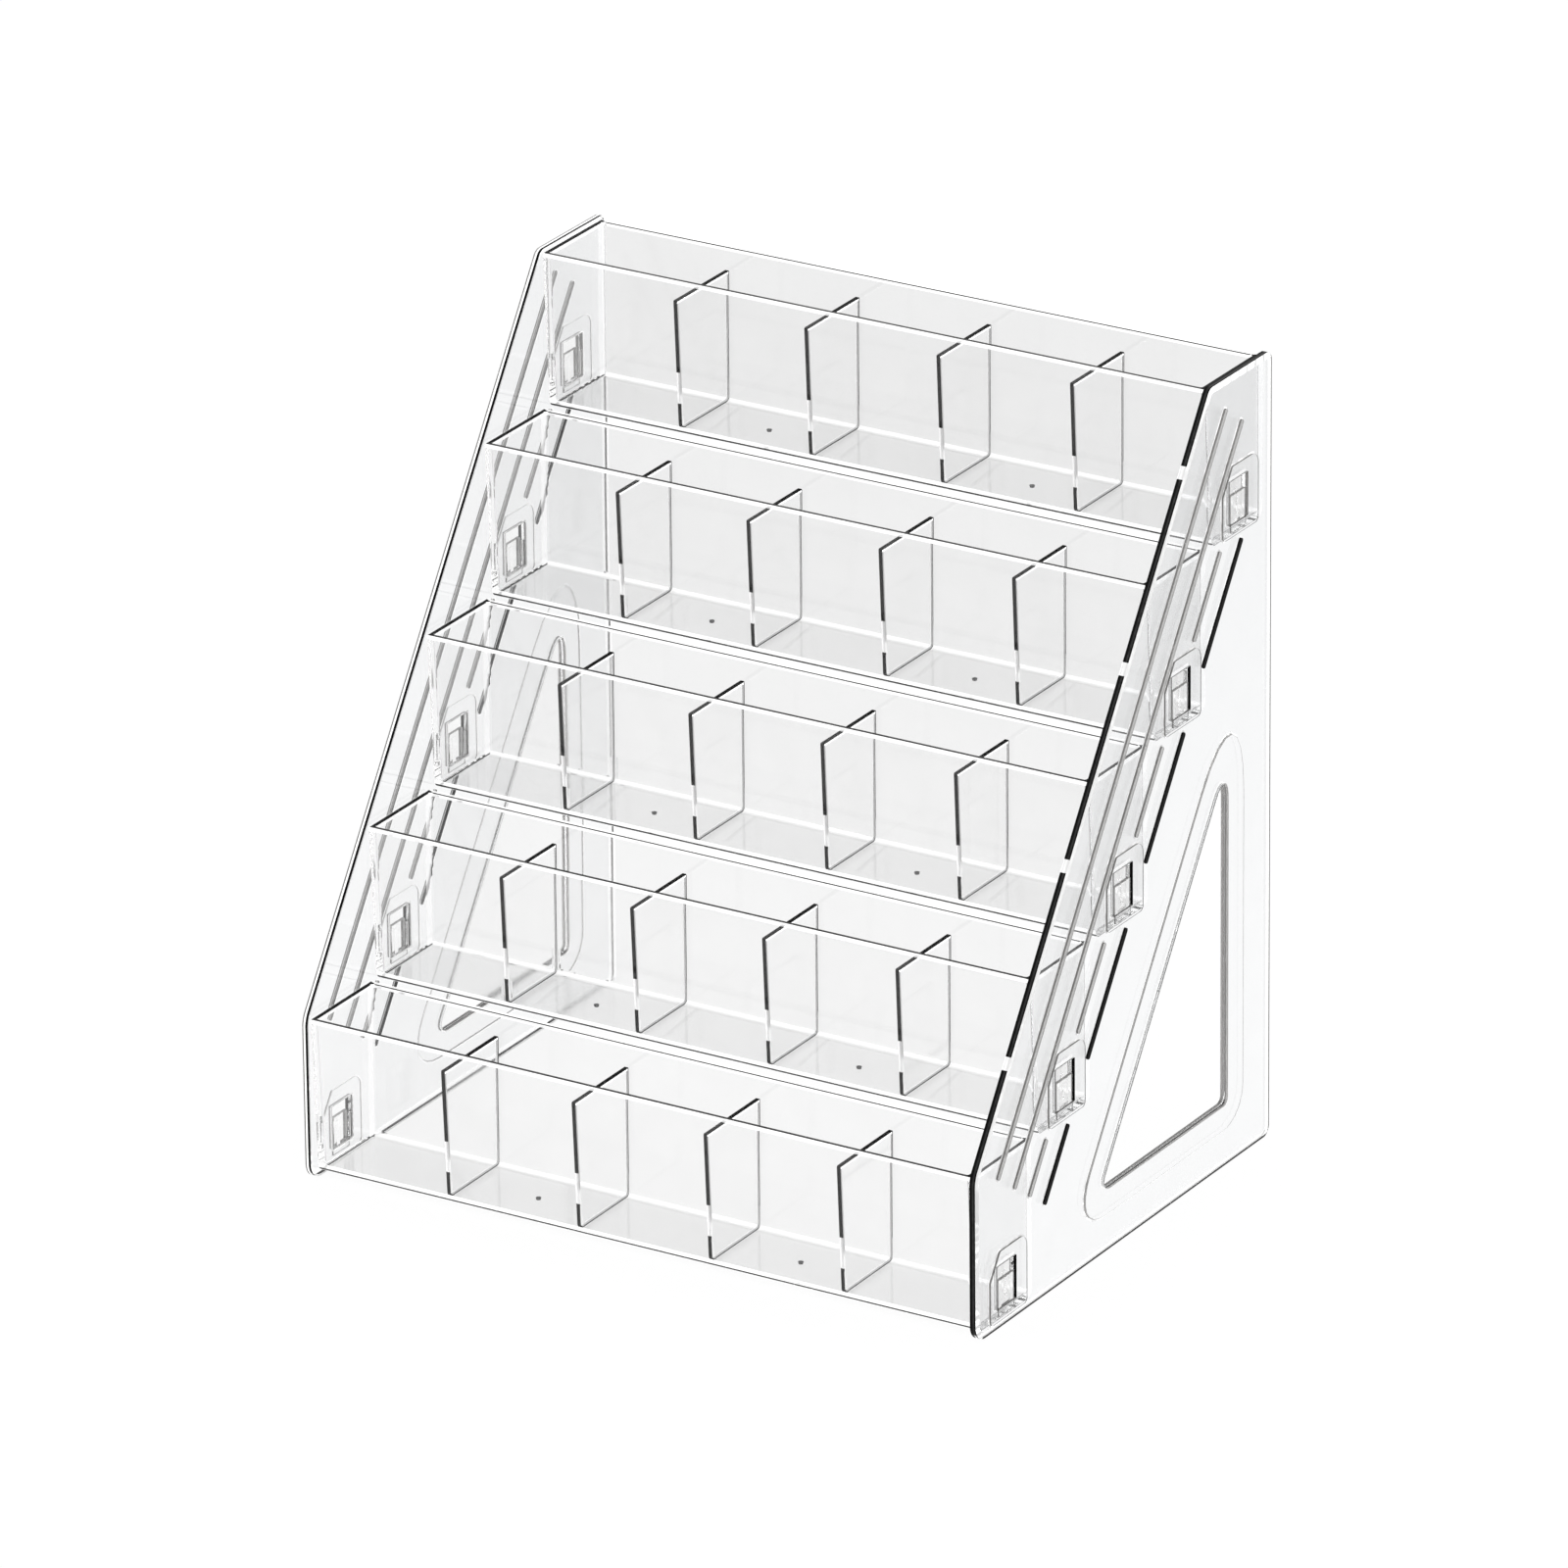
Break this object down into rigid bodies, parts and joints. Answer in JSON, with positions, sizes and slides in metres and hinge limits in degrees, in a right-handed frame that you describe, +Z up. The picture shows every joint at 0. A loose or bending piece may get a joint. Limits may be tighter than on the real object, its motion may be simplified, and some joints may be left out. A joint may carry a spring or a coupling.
{
  "type": "nail polish rack",
  "caption": "Clear moulded stepped rack: open trays hooked between two sloped side panels, each tray split into compartments by lift-out plates.",
  "frame": {"origin": "on the ground under the middle of the rack", "axes": "+X along the trays, +Y to the back, +Z up"},
  "size_m": [0.3, 0.2228, 0.3241],
  "materials": {
    "panel_plastic": "clear polished polystyrene",
    "tray_plastic": "clear polished polystyrene",
    "divider_plastic": "clear polished polystyrene"
  },
  "bodies": {
    "rack": {"left_side_panel": "panel_plastic", "right_side_panel": "panel_plastic", "tray_1": "tray_plastic", "tray_2": "tray_plastic", "tray_3": "tray_plastic", "tray_4": "tray_plastic", "tray_5": "tray_plastic"},
    "divider_1_1_body": {"divider_1_1": "divider_plastic"},
    "divider_1_2_body": {"divider_1_2": "divider_plastic"},
    "divider_1_3_body": {"divider_1_3": "divider_plastic"},
    "divider_1_4_body": {"divider_1_4": "divider_plastic"},
    "divider_2_1_body": {"divider_2_1": "divider_plastic"},
    "divider_2_2_body": {"divider_2_2": "divider_plastic"},
    "divider_2_3_body": {"divider_2_3": "divider_plastic"},
    "divider_2_4_body": {"divider_2_4": "divider_plastic"},
    "divider_3_1_body": {"divider_3_1": "divider_plastic"},
    "divider_3_2_body": {"divider_3_2": "divider_plastic"},
    "divider_3_3_body": {"divider_3_3": "divider_plastic"},
    "divider_3_4_body": {"divider_3_4": "divider_plastic"},
    "divider_4_1_body": {"divider_4_1": "divider_plastic"},
    "divider_4_2_body": {"divider_4_2": "divider_plastic"},
    "divider_4_3_body": {"divider_4_3": "divider_plastic"},
    "divider_4_4_body": {"divider_4_4": "divider_plastic"},
    "divider_5_1_body": {"divider_5_1": "divider_plastic"},
    "divider_5_2_body": {"divider_5_2": "divider_plastic"},
    "divider_5_3_body": {"divider_5_3": "divider_plastic"},
    "divider_5_4_body": {"divider_5_4": "divider_plastic"}
  },
  "joints": [
    {"name": "divider_1_1_lift", "type": "slide", "parent": "rack", "child": "divider_1_1_body", "axis": [0, 0, 1], "range_m": [0, 0.066]},
    {"name": "divider_1_2_lift", "type": "slide", "parent": "rack", "child": "divider_1_2_body", "axis": [0, 0, 1], "range_m": [0, 0.066]},
    {"name": "divider_1_3_lift", "type": "slide", "parent": "rack", "child": "divider_1_3_body", "axis": [0, 0, 1], "range_m": [0, 0.066]},
    {"name": "divider_1_4_lift", "type": "slide", "parent": "rack", "child": "divider_1_4_body", "axis": [0, 0, 1], "range_m": [0, 0.066]},
    {"name": "divider_2_1_lift", "type": "slide", "parent": "rack", "child": "divider_2_1_body", "axis": [0, 0, 1], "range_m": [0, 0.066]},
    {"name": "divider_2_2_lift", "type": "slide", "parent": "rack", "child": "divider_2_2_body", "axis": [0, 0, 1], "range_m": [0, 0.066]},
    {"name": "divider_2_3_lift", "type": "slide", "parent": "rack", "child": "divider_2_3_body", "axis": [0, 0, 1], "range_m": [0, 0.066]},
    {"name": "divider_2_4_lift", "type": "slide", "parent": "rack", "child": "divider_2_4_body", "axis": [0, 0, 1], "range_m": [0, 0.066]},
    {"name": "divider_3_1_lift", "type": "slide", "parent": "rack", "child": "divider_3_1_body", "axis": [0, 0, 1], "range_m": [0, 0.066]},
    {"name": "divider_3_2_lift", "type": "slide", "parent": "rack", "child": "divider_3_2_body", "axis": [0, 0, 1], "range_m": [0, 0.066]},
    {"name": "divider_3_3_lift", "type": "slide", "parent": "rack", "child": "divider_3_3_body", "axis": [0, 0, 1], "range_m": [0, 0.066]},
    {"name": "divider_3_4_lift", "type": "slide", "parent": "rack", "child": "divider_3_4_body", "axis": [0, 0, 1], "range_m": [0, 0.066]},
    {"name": "divider_4_1_lift", "type": "slide", "parent": "rack", "child": "divider_4_1_body", "axis": [0, 0, 1], "range_m": [0, 0.066]},
    {"name": "divider_4_2_lift", "type": "slide", "parent": "rack", "child": "divider_4_2_body", "axis": [0, 0, 1], "range_m": [0, 0.066]},
    {"name": "divider_4_3_lift", "type": "slide", "parent": "rack", "child": "divider_4_3_body", "axis": [0, 0, 1], "range_m": [0, 0.066]},
    {"name": "divider_4_4_lift", "type": "slide", "parent": "rack", "child": "divider_4_4_body", "axis": [0, 0, 1], "range_m": [0, 0.066]},
    {"name": "divider_5_1_lift", "type": "slide", "parent": "rack", "child": "divider_5_1_body", "axis": [0, 0, 1], "range_m": [0, 0.066]},
    {"name": "divider_5_2_lift", "type": "slide", "parent": "rack", "child": "divider_5_2_body", "axis": [0, 0, 1], "range_m": [0, 0.066]},
    {"name": "divider_5_3_lift", "type": "slide", "parent": "rack", "child": "divider_5_3_body", "axis": [0, 0, 1], "range_m": [0, 0.066]},
    {"name": "divider_5_4_lift", "type": "slide", "parent": "rack", "child": "divider_5_4_body", "axis": [0, 0, 1], "range_m": [0, 0.066]}
  ]
}
